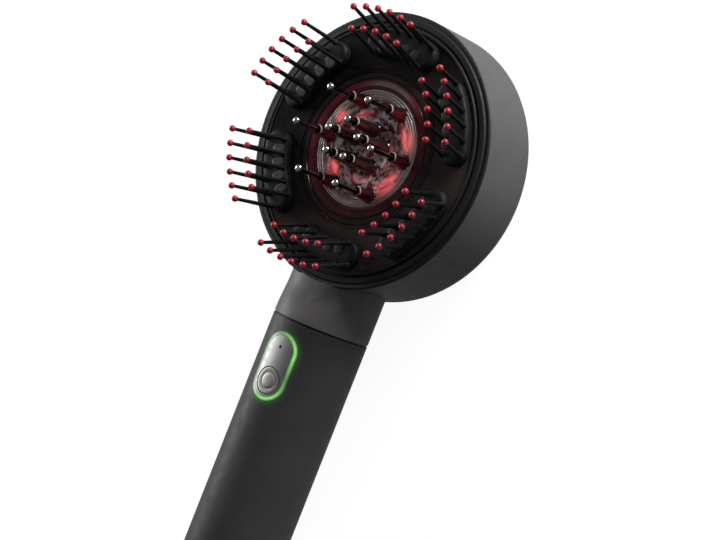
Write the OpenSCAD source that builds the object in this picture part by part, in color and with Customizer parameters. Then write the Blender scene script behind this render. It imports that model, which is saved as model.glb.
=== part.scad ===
// Electric scalp massager: round head with bristle pads and a lift-out clear
// applicator, on a straight tubular handle. Millimetres, +Z up.
// Origin: centre of the head's flat back. +Z runs out of the face and +Y away
// from the handle, so the massager lies on its back along -Y.

/* [Head] */
// Outside radius of the round head
head_r = 42.8; // [40:0.1:46]
// Depth of the head from its flat back to the rim
head_depth = 26.2; // [26.2:0.1:30]
// Thickness of the head's side wall
wall = 2.2; // [1.8:0.1:2.4]
// Thickness of the head's back wall
back_wall = 2.4; // [2:0.1:3]
// Radius of the rounded back edge
back_edge_r = 6; // [3:0.1:7]
// Radius of the rounded rim edge
rim_edge_r = 0.8; // [0.4:0.1:1]

/* [Face] */
// Height of the smoked plate's face above the rim
plate_rise = 1.0; // [0.8:0.1:1.6]
// Thickness of the smoked face plate
plate_t = 2.0; // [1.6:0.1:2.4]
// Distance from the head's outside to the smoked plate's edge
plate_inset = 5.3; // [4.8:0.1:5.6]
// Depth of the bezel ring's foot below the rim
bezel_foot = 3.2; // [2.8:0.1:3.6]
// Width of the bezel's inner shelf under the plate
bezel_shelf = 1.9; // [1.4:0.1:2.4]
// Distance from the head's outside to the groove that splits the bezel
groove_inset = 3.8; // [3.6:0.1:4]
// Width of the groove that splits the bezel
groove_w = 0.6; // [0.4:0.1:0.8]

/* [Bristle pads] */
// Distance from the smoked plate's edge to a pad's middle line
pad_inset = 4.9; // [4.7:0.1:5.2]
// Half of a pad's width
pad_half_w = 4.4; // [4.2:0.1:4.6]
// Half of the angle between a pad's two end centres
pad_half_angle = 15.6; // [14:0.1:16.5]
// Height of a pad above the plate
pad_h = 2.8; // [2.4:0.1:3.4]
// Height of the step round a pad's top
pad_step_h = 0.7; // [0.4:0.1:1]
// Width of the step round a pad's top
pad_step_w = 0.6; // [0.4:0.1:0.8]
// Length of a bristle from the pad's top to its tip centre
bristle_l = 13.8; // [10:0.1:16]
// Tilt of the bristles away from the head's middle
bristle_tilt = 13.5; // [8:0.5:16]
// Radius of a bristle at its root
bristle_root_r = 0.68; // [0.5:0.01:0.8]
// Radius of a bristle at its tip
bristle_end_r = 0.52; // [0.4:0.01:0.6]
// Radius of a bristle's ball tip
tip_r = 1.0; // [0.8:0.05:1.3]
// Distance from a pad's middle line out to the roots of its outer row
outer_root = 3.3; // [3.1:0.05:3.4]
// Bristles in a pad's outer row
outer_row_n = 6; // [4:1:6]
// Angle between outer bristles
outer_row_pitch = 6.65; // [6.4:0.05:6.8]
// Distance from a pad's middle line in to the roots of its inner row
inner_root = 3.4; // [3.2:0.05:3.5]
// Bristles in a pad's inner row
inner_row_n = 5; // [3:1:5]
// Angle between inner bristles
inner_row_pitch = 8; // [7.6:0.1:8.2]

/* [Applicator] */
// Outside radius of the applicator's carrier ring
carrier_r = 23.65; // [23.2:0.05:24]
// Width of the carrier ring outside the clear disc
disc_inset = 4.4; // [4.1:0.05:4.6]
// Distance from the clear disc's edge to the outer ring of ball pins
pin_inset = 4.35; // [3.9:0.05:5]
// Height of the outer pins' ball centres above the rim
pin_rise = 17.8; // [15:0.1:19]
// Radius of the inner ring of ball pins
inner_pin_r = 5.95; // [5.5:0.05:7]
// Height of the inner pins' ball centres above the rim
inner_pin_rise = 14.0; // [12:0.1:16]
// Radius of a pin's steel ball
ball_r = 1.2; // [1:0.05:1.4]
// Radius of a pin's steel stem
stem_r = 0.65; // [0.5:0.01:0.7]
// Distance from an outer ball's centre down to its barrel's end
stem_show = 10.4; // [9:0.1:11]
// Distance from an inner ball's centre down to its barrel's end
inner_stem_show = 3.2; // [2.8:0.1:6]
// Radius of a clear barrel at its end
barrel_end_r = 1.55; // [1.4:0.05:1.7]
// Radius of a clear barrel at its root
barrel_root_r = 2.1; // [1.8:0.05:2.3]
// Distance from the carrier ring's outside to the liquid tank
tank_inset = 5.45; // [5.4:0.05:6]
// Thickness of the tank's side wall
tank_wall = 1.3; // [1.2:0.1:1.6]
// Height of the tank below the clear disc
tank_h = 11.4; // [10:0.1:11.6]
// Radius of the filler plug's stem
plug_r = 3.0; // [2.4:0.1:3.4]

/* [Handle] */
// Outside radius of the handle
handle_r = 15.2; // [15:0.1:15.2]
// Height of the handle's middle line above the head's back
handle_z = 15.3; // [15.3:0.1:15.5]
// Thickness of the handle tube's wall
tube_wall = 1.8; // [1.6:0.1:2]
// Length of the neck from the head's outside to the seam
neck_l = 12.7; // [12.2:0.1:14.2]
// Width of the dark seam ring
seam_w = 0.5; // [0.4:0.1:0.8]
// Length of the handle behind the cell
tail_l = 16; // [16:0.5:26]
// Length of the end cap's visible rim
cap_w = 3.0; // [2.6:0.1:4]
// Rounding of the end cap's outer edge
cap_edge_r = 2.0; // [1:0.1:2.2]

/* [Controls] */
// Distance from the seam to the power button's centre
button_off = 19.7; // [19.5:0.1:20.5]
// Distance between the control panel's two end centres
panel_span = 9.4; // [9:0.1:11]
// Half of the control panel's width
panel_half_w = 4.75; // [4.7:0.05:4.9]
// Width of the glowing ring round the panel
ring_w = 1.35; // [1:0.05:1.5]
// Radius of the power button
button_r = 4.3; // [4:0.05:4.35]
// Radius of the raised middle of the power button
button_mid_r = 2.3; // [2:0.05:2.8]
// How far the power button can be pressed
button_travel = 0.5; // [0.3:0.05:0.5]
// Radius of the small indicator lens
lens_r = 0.5; // [0.4:0.05:0.7]

/* [Inside] */
// Radius of the rechargeable cell
cell_r = 9.2; // [9:0.1:9.2]
// Length of the rechargeable cell
cell_l = 65; // [60:1:75]
// Distance from the seam to the cell
cell_off = 50.5; // [50:0.5:56]
// Radius of the vibration motor
motor_r = 6.2; // [5.5:0.1:6.4]
// Length of the vibration motor
motor_l = 16; // [14:0.5:16.5]
// Radius of the motor's shaft
shaft_r = 0.75; // [0.5:0.05:0.8]
// Radius of the motor's eccentric weight
weight_r = 4.6; // [4:0.1:5.4]
// Length of the motor's eccentric weight
weight_l = 6.0; // [4:0.5:6.5]
// Width of the charging socket's opening
port_w = 9.0; // [8.8:0.1:9.2]
// Height of the charging socket's opening
port_h = 3.2; // [3:0.1:3.4]

/* [Hidden] */
$fn = 96;
eps = 0.01;
seat_gap = 0.05;
slide_gap = 0.10;
rim_z = head_depth;
plate_top = rim_z + plate_rise;
plate_low = plate_top - plate_t;
foot_z = rim_z - bezel_foot;
bezel_r = head_r - rim_edge_r - 0.65;
plate_r = head_r - plate_inset;
groove_r = head_r - groove_inset;
pad_r = plate_r - pad_inset;
disc_r = carrier_r - disc_inset;
pin_ring_r = disc_r - pin_inset;
tank_r = carrier_r - tank_inset;
seam_y = head_r + neck_l;
button_y = seam_y + button_off;
cell_y = seam_y + cell_off;
handle_end = cell_y + cell_l + tail_l;
pad_count = 6;
pin_ring_n = 6;
inner_pin_n = 5;
tip_lean = bristle_l * sin(bristle_tilt);
outer_row_r = pad_r + outer_root + tip_lean;
inner_row_r = pad_r - inner_root + tip_lean;
root_sunk = 0.6;
tip_bore_r = bristle_end_r + 0.04;
peg_r = 1.5;
peg_angle = pad_half_angle * 0.6;
carrier_low = plate_low - 0.3;
carrier_top = plate_top + 0.1;
disc_low = carrier_low + 0.5;
disc_top = carrier_top - 0.05;
hole_r = carrier_r + slide_gap;
pin_bore_r = stem_r + 0.07;
pin_head_r = stem_r + 0.4;
pin_head_h = 0.8;
tank_low = disc_low - tank_h;
tank_floor = 1.2;
seal_r = 0.6;
seal_z = disc_low - 4.5;
seal_mid_r = tank_r + 0.35 - seal_r;
carrier_in_r = tank_r + 0.1;
barrel_chamfer = 0.4;
cradle_in = tank_r + 0.4;
cradle_out = cradle_in + 1.4;
board_low = back_wall + 4.6;
board_t = 1.2;
board_top = board_low + board_t;
board_r = head_r - 6.8;
board_hole_r = 5;
post_r = 3.6;
screw_r = 1.25;
screw_l = 12;
screw_way_r = screw_r + 0.15;
screw_head_r = 2.2;
screw_head_t = 1.4;
screw_seat_z = 3.0;
cross_l = 2.6;
cross_w = 0.6;
cross_deep = 0.9;
boss_r = 2.6;
post_ring_r = plate_r - bezel_shelf - boss_r;
boss_hole_r = screw_r + 0.02;
boss_hole_l = 8;
plug_y = tank_r - 8.7;
plug_cap_r = plug_r + 1.2;
plug_cap_t = 1.0;
led_w = 2.8;
led_h = 1.0;
led_in_r = (board_hole_r + cradle_in) / 2;
led_out_r = (cradle_out + post_ring_r - boss_r) / 2;
tube_in_r = handle_r - tube_wall;
tube_y = seam_y + seam_w;
cap_y = handle_end - cap_w;
spigot_r = tube_in_r - seat_gap;
spigot_l = 10.5;
spigot_in = spigot_r - 1.6;
neck_start = head_r - 4.8;
duct_start = head_r - 12.8;
duct_r = 7.4;
sleeve_y = seam_y - 7;
motor_y = sleeve_y + 2;
motor_end = motor_y + motor_l;
shaft_tip = motor_y - weight_l - 2.2;
weight_y = shaft_tip + 0.8;
weight_flat = 1.4;
tray_r = tube_in_r - seat_gap;
tray_in = tray_r - 1.2;
tray_y = seam_y + spigot_l + 1.5;
tray_end = cap_y - 8.5;
tray_top = handle_z;
cell_z = handle_z - tray_in + cell_r + 0.05;
tray_wall = 2;
strap_y = cell_y + 28;
strap_w = 7;
strap_t = 0.9;
strap_seat = 0.1;
contact_w = 8;
contact_t = 1.4;
tray_wall_end = cell_y + cell_l + contact_t + tray_wall;
contact_h = 6;
nub_r = 3;
nub_l = 1.2;
rail_x = 9.0;
rail_w = 1.8;
pcb_top = handle_z + 8.7;
pcb_t = 1.2;
pcb_w = 19.2;
pcb_y = tray_y + 0.5;
pcb_l = 36;
panel_y = button_y - panel_span;
ring_half_w = panel_half_w + seat_gap + ring_w;
panel_low = handle_z + 12.6;
flange_r = button_r + 0.9;
flange_t = 0.9;
lens_y = panel_y - 1.4;
switch_w = 6;
switch_h = 1.7;
nub_h = panel_low - 0.02 - flange_t - button_travel - 0.06 - pcb_top - switch_h;
port_z = handle_z;
port_l = 7.2;
port_wall = 0.3;
port_sunk = 0.6;
ribbon_w = 6;
ribbon_t = 0.3;
ribbon_roof = min(foot_z, handle_z + sqrt(duct_r * duct_r - ribbon_w * ribbon_w / 4));
ribbon_low = (handle_z + weight_r + ribbon_roof - ribbon_t) / 2;
cap_spigot = 8;
cap_seal_y = cap_y - 3;
cap_seal_r = 0.7;
cap_seal_mid_r = tube_in_r - 0.02 - cap_seal_r;
cap_groove_r = cap_seal_mid_r - cap_seal_r - 0.05;
cap_groove_w = 2 * cap_seal_r + 0.1;
charge_board_w = 14;
charge_board_t = 1.0;
charge_board_top = port_z - port_h / 2 - 0.35;
charge_board_y = cap_y - 1.1;
bearing_r = 2.5;
bearing_l = 0.9;

c_shell = [0.25, 0.25, 0.26];
c_handle = [0.12, 0.12, 0.13];
c_gloss = [0.03, 0.03, 0.03];
c_smoke = [0.10, 0.05, 0.05, 0.8];
c_pad = [0.04, 0.04, 0.04];
c_red = [0.70, 0.08, 0.10];
c_clear = [0.85, 0.88, 0.90, 0.4];
c_steel = [0.75, 0.76, 0.78];
c_board = [0.05, 0.30, 0.15];
c_copper = [0.75, 0.50, 0.25];
c_white = [0.85, 0.85, 0.85];
c_panel = [0.55, 0.55, 0.57];
c_green = [0.35, 0.95, 0.35];
c_cell = [0.20, 0.35, 0.65];

// A cylinder along -Y whose near end is at y = -from and far end at y = -to.
module along_handle(r, from, to, z = handle_z) {
    translate([0, -from, z]) rotate([90, 0, 0]) cylinder(r = r, h = to - from);
}

module ring(r_out, r_in, z0, z1) {
    translate([0, 0, z0]) difference() {
        cylinder(r = r_out, h = z1 - z0);
        translate([0, 0, -1]) cylinder(r = r_in, h = z1 - z0 + 2);
    }
}

module spread(n, r, first = 0) {
    for (i = [0 : n - 1]) rotate([0, 0, first + i * 360 / n]) translate([r, 0, 0]) children();
}

// Neck: rows of points from inside the head to the seam. The lower half of each
// row is a half circle, the upper half is pressed down towards the rim.
neck_rows = 10;
neck_pts = 60;
function neck_at(i, j) = i * neck_pts + j % neck_pts;
function blend(u) = u <= 0 ? 0 : u >= 1 ? 1 : u * u * (3 - 2 * u);
function neck_y(i) = neck_start + (seam_y - neck_start) * i / (neck_rows - 1);
function neck_t(y) = 1 - blend((y - head_r - 0.5) / (seam_y - head_r - 0.5));
function neck_top(t) = handle_r - (handle_r - (rim_z + 0.5 - handle_z)) * t;
function neck_pow(t) = 2 / (2 + 0.4 * t);
function neck_pt(a, y, t) = [
    handle_r * sign(cos(a)) * pow(abs(cos(a)), sin(a) > 0 ? neck_pow(t) : 1),
    -y,
    handle_z + (sin(a) > 0 ? neck_top(t) : handle_r)
        * sign(sin(a)) * pow(abs(sin(a)), sin(a) > 0 ? neck_pow(t) : 1)
];
module neck() {
    last = (neck_rows - 1) * neck_pts;
    polyhedron(
        points = [for (i = [0 : neck_rows - 1]) for (j = [0 : neck_pts - 1])
            neck_pt((j + 0.5) * 360 / neck_pts, neck_y(i), neck_t(neck_y(i)))],
        faces = concat(
            [[for (j = [0 : neck_pts - 1]) j]],
            [[for (j = [neck_pts - 1 : -1 : 0]) last + j]],
            [for (i = [0 : neck_rows - 2]) for (j = [0 : neck_pts - 1])
                [neck_at(i, j), neck_at(i + 1, j), neck_at(i + 1, j + 1)]],
            [for (i = [0 : neck_rows - 2]) for (j = [0 : neck_pts - 1])
                [neck_at(i, j), neck_at(i + 1, j + 1), neck_at(i, j + 1)]]
        )
    );
}

// The four screws that hold the face to the back stand on one circle.
module at_posts() spread(4, post_ring_r, 45) children();

module drum() {
    rotate_extrude() union() {
        square([head_r - back_edge_r, head_depth]);
        translate([0, back_edge_r]) square([head_r, head_depth - back_edge_r - rim_edge_r]);
        translate([0, back_edge_r]) square([head_r - rim_edge_r, head_depth - back_edge_r]);
        intersection() {
            translate([head_r - back_edge_r, back_edge_r]) circle(r = back_edge_r);
            square([head_r + 1, head_depth]);
        }
        translate([head_r - rim_edge_r, head_depth - rim_edge_r]) circle(r = rim_edge_r);
    }
}

module head_shell() color(c_shell) {
    difference() {
        drum();
        // room behind the face
        translate([0, 0, back_wall]) cylinder(r = head_r - wall, h = head_depth);
        // seat of the bezel ring
        translate([0, 0, foot_z]) cylinder(r = bezel_r + seat_gap, h = head_depth);
        // way into the neck
        along_handle(duct_r, duct_start, seam_y);
        at_posts() screw_way();
    }
    // posts under the light board
    at_posts() difference() {
        translate([0, 0, back_wall - 0.5])
            cylinder(r = post_r, h = board_low - back_wall + 0.5);
        screw_way();
    }
}

module screw_way() {
    translate([0, 0, -1]) cylinder(r = screw_head_r + 0.2, h = screw_seat_z + 1);
    cylinder(r = screw_way_r, h = board_low + 1);
}

module neck_shroud() color(c_shell) difference() {
    union() {
        neck();
        along_handle(spigot_r, seam_y - 1, seam_y + spigot_l);
    }
    drum();
    translate([0, 0, back_edge_r]) cylinder(r = head_r, h = head_depth);
    // duct and the motor's bay
    along_handle(duct_r, duct_start, seam_y + spigot_l + 1);
    along_handle(spigot_in, sleeve_y, seam_y + spigot_l + 1);
    // notch of the spigot under the control panel
    panel_block(ring_half_w + 0.3, panel_low - 0.3);
}

module bezel_ring() color(c_gloss) {
    groove_in = groove_r - groove_w / 2;
    groove_out = groove_r + groove_w / 2;
    rotate_extrude() polygon([
        [plate_r + seat_gap - bezel_shelf, foot_z],
        [bezel_r, foot_z],
        [bezel_r, rim_z - 0.1],
        [bezel_r - 0.5, rim_z + 0.5],
        [groove_out + 0.2, rim_z + 0.7],
        [groove_out, rim_z + 0.5],
        [groove_out, rim_z - 0.2],
        [groove_in, rim_z - 0.2],
        [groove_in, rim_z + 0.9],
        [groove_in - 0.3, rim_z + 1.2],
        [plate_r + seat_gap + 0.3, rim_z + 1.2],
        [plate_r + seat_gap, rim_z + 0.9],
        [plate_r + seat_gap, plate_low],
        [plate_r + seat_gap - bezel_shelf, plate_low]
    ]);
}

module face_plate() color(c_smoke) {
    difference() {
        union() {
            ring(plate_r, hole_r, plate_low, plate_top);
            at_posts() translate([0, 0, board_top])
                cylinder(r = boss_r, h = plate_low - board_top + eps);
        }
        at_posts() translate([0, 0, board_top - 1]) cylinder(r = boss_hole_r, h = boss_hole_l + 1);
        for (k = [0 : pad_count - 1]) rotate([0, 0, k * 360 / pad_count])
            pegs(peg_r + 0.1, plate_low - 1, plate_top + 1);
        // shallow step round the applicator
        translate([0, 0, plate_top - 0.3]) difference() {
            cylinder(r = hole_r + 0.9, h = 1);
            translate([0, 0, -1]) cylinder(r = hole_r + 0.45, h = 3);
        }
    }
}

// A pad is held by two pegs in the face plate.
module pegs(r, low, high) for (s = [-1, 1]) rotate([0, 0, 90 + s * peg_angle])
    translate([pad_r, 0, low]) cylinder(r = r, h = high - low);

// A pad's outline seen along Z: a bent bar with round ends, w on each side.
module pad_outline(w) {
    far = 2 * pad_r;
    difference() {
        intersection() {
            circle(r = pad_r + w);
            polygon([
                [0, 0],
                [-far * sin(pad_half_angle), far * cos(pad_half_angle)],
                [0, far * 1.4],
                [far * sin(pad_half_angle), far * cos(pad_half_angle)]
            ]);
        }
        circle(r = pad_r - w);
    }
    for (s = [-1, 1]) rotate([0, 0, 90 + s * pad_half_angle]) translate([pad_r, 0]) circle(r = w);
}

// The roots of one row of bristles on a pad's top. The row's tips lie on a
// circle of radius r, and all of them lean along the pad's middle.
module bristle_row(n, r, pitch) for (j = [0 : n - 1]) {
    a = (j - (n - 1) / 2) * pitch;
    translate([-r * sin(a), r * cos(a) - tip_lean, plate_top + pad_h])
        rotate([-bristle_tilt, 0, 0]) children();
}

module at_bristles() {
    bristle_row(outer_row_n, outer_row_r, outer_row_pitch) children();
    bristle_row(inner_row_n, inner_row_r, inner_row_pitch) children();
}

// Pad k of the ring, pad 1 opposite the handle and the rest anticlockwise.
module pad(k) color(c_pad) rotate([0, 0, (k - 1) * 360 / pad_count]) {
    step_z = plate_top + pad_h - pad_step_h;
    translate([0, 0, plate_top]) linear_extrude(height = step_z - plate_top) pad_outline(pad_half_w);
    translate([0, 0, step_z - eps])
        linear_extrude(height = pad_step_h + eps) pad_outline(pad_half_w - pad_step_w);
    at_bristles() translate([0, 0, -root_sunk])
        cylinder(r1 = bristle_root_r, r2 = bristle_end_r, h = bristle_l + root_sunk, $fn = 32);
    pegs(peg_r, plate_low, plate_top + 0.5);
}

// The ball tips of pad k, each pushed on its bristle as far as the ball's middle.
module tips(k) color(c_red) rotate([0, 0, (k - 1) * 360 / pad_count])
    at_bristles() difference() {
        translate([0, 0, bristle_l]) sphere(r = tip_r, $fn = 32);
        cylinder(r = tip_bore_r, h = bristle_l, $fn = 32);
    }

module carrier_ring() color(c_smoke) rotate_extrude() polygon([
    [carrier_in_r, carrier_low],
    [carrier_r, carrier_low],
    [carrier_r, carrier_top - 0.3],
    [carrier_r - 0.3, carrier_top],
    [carrier_r - 1.7, carrier_top],
    [carrier_r - 1.9, carrier_top - 0.3],
    [carrier_r - 2.3, carrier_top - 0.3],
    [carrier_r - 2.5, carrier_top],
    [disc_r + seat_gap, carrier_top],
    [disc_r + seat_gap, disc_low],
    [carrier_in_r, disc_low]
]);

module at_outer_pins() spread(pin_ring_n, pin_ring_r) children();
module at_inner_pins() spread(inner_pin_n, inner_pin_r, 90) children();

module clear_disc() color(c_clear) {
    difference() {
        union() {
            translate([0, 0, disc_low]) cylinder(r = disc_r, h = disc_top - disc_low);
            at_outer_pins() barrel(rim_z + pin_rise - stem_show);
            at_inner_pins() barrel(rim_z + inner_pin_rise - inner_stem_show);
        }
        at_outer_pins() translate([0, 0, disc_low - 1]) cylinder(r = pin_bore_r, h = 20);
        at_inner_pins() translate([0, 0, disc_low - 1]) cylinder(r = pin_bore_r, h = 20);
        // rings cut into the face
        for (r = [disc_r - 1.1, disc_r - 2.0]) translate([0, 0, disc_top - 0.3]) difference() {
            cylinder(r = r + 0.2, h = 1);
            translate([0, 0, -1]) cylinder(r = r - 0.2, h = 3);
        }
    }
}

module barrel(top) {
    translate([0, 0, disc_top - 0.2])
        cylinder(r1 = barrel_root_r, r2 = barrel_end_r, h = top - disc_top + 0.2 - barrel_chamfer);
    translate([0, 0, top - barrel_chamfer])
        cylinder(r1 = barrel_end_r, r2 = barrel_end_r - barrel_chamfer, h = barrel_chamfer);
}

// Ball pin: steel ball on a stem, held in by a head under the clear disc.
module ball_pin(rise) {
    ball_z = rim_z + rise;
    translate([0, 0, ball_z]) sphere(r = ball_r, $fn = 48);
    translate([0, 0, disc_low - pin_head_h]) {
        cylinder(r = stem_r, h = ball_z - disc_low + pin_head_h, $fn = 48);
        cylinder(r = pin_head_r, h = pin_head_h - 0.02, $fn = 48);
    }
}
module outer_pin(k) color(c_steel) rotate([0, 0, (k - 1) * 360 / pin_ring_n])
    translate([pin_ring_r, 0, 0]) ball_pin(pin_rise);
module inner_pin(k) color(c_steel) rotate([0, 0, 90 + (k - 1) * 360 / inner_pin_n])
    translate([inner_pin_r, 0, 0]) ball_pin(inner_pin_rise);

module liquid_tank() color(c_clear) difference() {
    translate([0, 0, tank_low]) cylinder(r = tank_r, h = tank_h);
    translate([0, 0, tank_low + tank_floor]) cylinder(r = tank_r - tank_wall, h = tank_h);
    // groove of the seal
    tank_seal();
    // filler hole
    translate([0, plug_y, tank_low - 1]) cylinder(r = plug_r, h = tank_floor + 2);
}

module tank_seal() color(c_pad) translate([0, 0, seal_z]) rotate_extrude()
    translate([seal_mid_r, 0]) circle(r = seal_r, $fn = 32);

module filler_plug() color(c_red) translate([0, plug_y, 0]) {
    translate([0, 0, tank_low - plug_cap_t]) cylinder(r = plug_cap_r, h = plug_cap_t);
    translate([0, 0, tank_low - 0.1]) cylinder(r = plug_r - seat_gap, h = tank_floor + 0.1);
    translate([0, 0, tank_low + tank_floor - 0.1])
        cylinder(r1 = plug_r - seat_gap, r2 = plug_r - 0.6, h = 1.1);
}

module tank_cradle() color(c_clear) ring(cradle_out, cradle_in, board_top, carrier_low);

module light_board() color(c_board) difference() {
    translate([0, 0, board_low]) cylinder(r = board_r, h = board_t);
    translate([0, 0, board_low - 1]) cylinder(r = board_hole_r, h = board_t + 2);
    at_posts() translate([0, 0, board_low - 1]) cylinder(r = screw_way_r, h = board_t + 2);
}

module light_chips() color(c_white) {
    spread(6, led_in_r) light_chip();
    spread(12, led_out_r, 15) light_chip();
}
module light_chip() translate([-led_w / 2, -led_w / 2, board_top]) cube([led_w, led_w, led_h]);

module back_screws() color(c_steel) at_posts() difference() {
    union() {
        translate([0, 0, screw_seat_z - screw_head_t]) cylinder(r = screw_head_r, h = screw_head_t);
        translate([0, 0, screw_seat_z - 0.1]) cylinder(r = screw_r, h = screw_l);
    }
    // cross recess
    for (a = [0, 90]) rotate([0, 0, a])
        translate([-cross_l / 2, -cross_w / 2, screw_seat_z - screw_head_t - 1])
            cube([cross_l, cross_w, cross_deep + 1]);
}

module motor_sleeve() color(c_pad) difference() {
    along_handle(spigot_in - seat_gap, motor_y, seam_y + spigot_l - 2);
    along_handle(motor_r, motor_y - 1, seam_y + spigot_l);
    // way for the wires
    translate([-spigot_in, -seam_y - spigot_l, handle_z + motor_r + 0.8])
        cube([2 * spigot_in, spigot_l + motor_l, spigot_in]);
}

module motor_body() color(c_steel) difference() {
    union() {
        along_handle(motor_r, motor_y, motor_end);
        along_handle(bearing_r, motor_y - bearing_l, motor_y + 1);
    }
    along_handle(shaft_r + 0.05, motor_y - 2, motor_end - 3);
}

module motor_shaft() color(c_steel) along_handle(shaft_r, shaft_tip, motor_end - 3.2);

module motor_weight() color(c_copper) difference() {
    along_handle(weight_r, weight_y, weight_y + weight_l);
    translate([-weight_r - 1, -weight_y - weight_l - 1, handle_z + weight_flat])
        cube([2 * weight_r + 2, weight_l + 2, weight_r]);
    along_handle(shaft_r, weight_y - 1, weight_y + weight_l + 1);
}

module seam_ring() color(c_gloss) difference() {
    along_handle(handle_r - 0.35, seam_y, tube_y);
    along_handle(spigot_r, seam_y - 1, tube_y + 1);
}

// Rounded bar shape of the control panel, seen along Z, with half-width w.
module panel_shape(w) {
    translate([0, -panel_y]) circle(r = w);
    translate([0, -button_y]) circle(r = w);
    translate([-w, -button_y]) square([2 * w, panel_span]);
}
module panel_block(w, low) translate([0, 0, low]) linear_extrude(height = handle_r + 2) panel_shape(w);

module handle_tube() color(c_handle) difference() {
    along_handle(handle_r, tube_y, cap_y);
    along_handle(tube_in_r, tube_y - 1, cap_y + 1);
    panel_block(ring_half_w + seat_gap, handle_z);
}

module control_panel() color(c_panel) difference() {
    intersection() {
        panel_block(panel_half_w, panel_low);
        along_handle(handle_r + 0.1, seam_y, cell_y);
    }
    translate([0, -button_y, panel_low - 1]) cylinder(r = button_r + seat_gap, h = handle_r);
    translate([0, -lens_y, panel_low - 1]) cylinder(r = lens_r, h = handle_r, $fn = 32);
}

module light_ring() color(c_green) difference() {
    intersection() {
        panel_block(ring_half_w, panel_low);
        along_handle(handle_r - 0.05, seam_y, cell_y);
    }
    panel_block(panel_half_w + seat_gap, panel_low - 1);
}

module power_button() color(c_panel) {
    difference() {
        intersection() {
            translate([0, -button_y, panel_low - 0.5]) cylinder(r = button_r, h = handle_r);
            along_handle(handle_r + 0.15, seam_y, cell_y);
        }
        translate([0, -button_y, handle_z + handle_r - 0.35]) difference() {
            cylinder(r = button_mid_r + 0.3, h = 3);
            translate([0, 0, -1]) cylinder(r = button_mid_r, h = 5);
        }
    }
    translate([0, -button_y, panel_low - 0.02 - flange_t]) cylinder(r = flange_r, h = flange_t);
}

module indicator_lens() color(c_white) intersection() {
    translate([0, -lens_y, panel_low]) cylinder(r = lens_r, h = handle_r, $fn = 32);
    along_handle(handle_r + 0.1, seam_y, cell_y);
}

module cell_tray() color(c_gloss) {
    difference() {
        union() {
            difference() {
                along_handle(tray_r, tray_y, tray_end);
                along_handle(tray_in, tray_y - 1, tray_end + 1);
            }
            for (y = [tray_y, cell_y - nub_l - contact_t - tray_wall, cell_y + cell_l + contact_t])
                along_handle(tray_r, y, y + tray_wall);
        }
        translate([-handle_r, -tray_end - 1, tray_top])
            cube([2 * handle_r, tray_end - tray_y + 2, handle_r]);
        // wire notch through the front and middle walls
        translate([-3, -cell_y, tray_top - 5]) cube([6, cell_y - tray_y + 1, 6]);
    }
    for (s = [-1, 1]) difference() {
        translate([s > 0 ? rail_x : -rail_x - rail_w, -pcb_y - pcb_l, tray_top - 6])
            cube([rail_w, pcb_l, pcb_top - pcb_t - tray_top + 6]);
        // keep the rail inside the tube
        difference() {
            along_handle(2 * handle_r, tray_y - 1, tray_end);
            along_handle(tray_r, tray_y - 2, tray_end + 1);
        }
    }
}

module cell() color(c_cell) {
    along_handle(cell_r, cell_y, cell_y + cell_l, cell_z);
    along_handle(nub_r, cell_y - nub_l, cell_y + 1, cell_z);
}

module cell_strap() color(c_pad) difference() {
    along_handle(cell_r + strap_t, strap_y, strap_y + strap_w, cell_z);
    along_handle(cell_r, strap_y - 1, strap_y + strap_w + 1, cell_z);
    // the strap ends on the tray's upper edges
    translate([-handle_r, -strap_y - strap_w - 1, tray_top - handle_r])
        cube([2 * handle_r, strap_w + 2, handle_r + strap_seat]);
}

module cell_contacts() color(c_steel) {
    // a plate at each end of the cell
    for (y = [cell_y - nub_l, cell_y + cell_l + contact_t])
        translate([-contact_w / 2, -y, cell_z - 4]) cube([contact_w, contact_t, contact_h]);
}

module control_board() color(c_board) {
    translate([-pcb_w / 2, -pcb_y - pcb_l, pcb_top - pcb_t]) cube([pcb_w, pcb_l, pcb_t]);
    // chips under the board
    translate([-3.5, -pcb_y - 20, pcb_top - pcb_t - 1.6]) cube([7, 7, 1.7]);
    translate([-6, -pcb_y - 30, pcb_top - pcb_t - 1.2]) cube([4, 5, 1.3]);
    translate([2, -pcb_y - 31, pcb_top - pcb_t - 1.2]) cube([5, 4, 1.3]);
}

module tact_switch() color(c_gloss) {
    translate([-switch_w / 2, -button_y - switch_w / 2, pcb_top]) cube([switch_w, switch_w, switch_h]);
    translate([0, -button_y, pcb_top + switch_h - 0.1]) cylinder(r = 1.7, h = nub_h + 0.1);
}

// Flat cable from the control board, over the motor and down to the light board.
module ribbon_cable() color(c_copper) {
    high = pcb_top - pcb_t - ribbon_t;
    back = sleeve_y + 0.9;
    drop = board_r - 2;
    ribbon_box(back, pcb_y + 2, high, high + ribbon_t);
    ribbon_box(back, back + ribbon_t, ribbon_low, high + ribbon_t);
    ribbon_box(drop, back + ribbon_t, ribbon_low, ribbon_low + ribbon_t);
    ribbon_box(drop, drop + ribbon_t, board_top, ribbon_low + ribbon_t);
}
module ribbon_box(y0, y1, z0, z1)
    translate([-ribbon_w / 2, -y1, z0]) cube([ribbon_w, y1 - y0, z1 - z0]);

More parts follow.
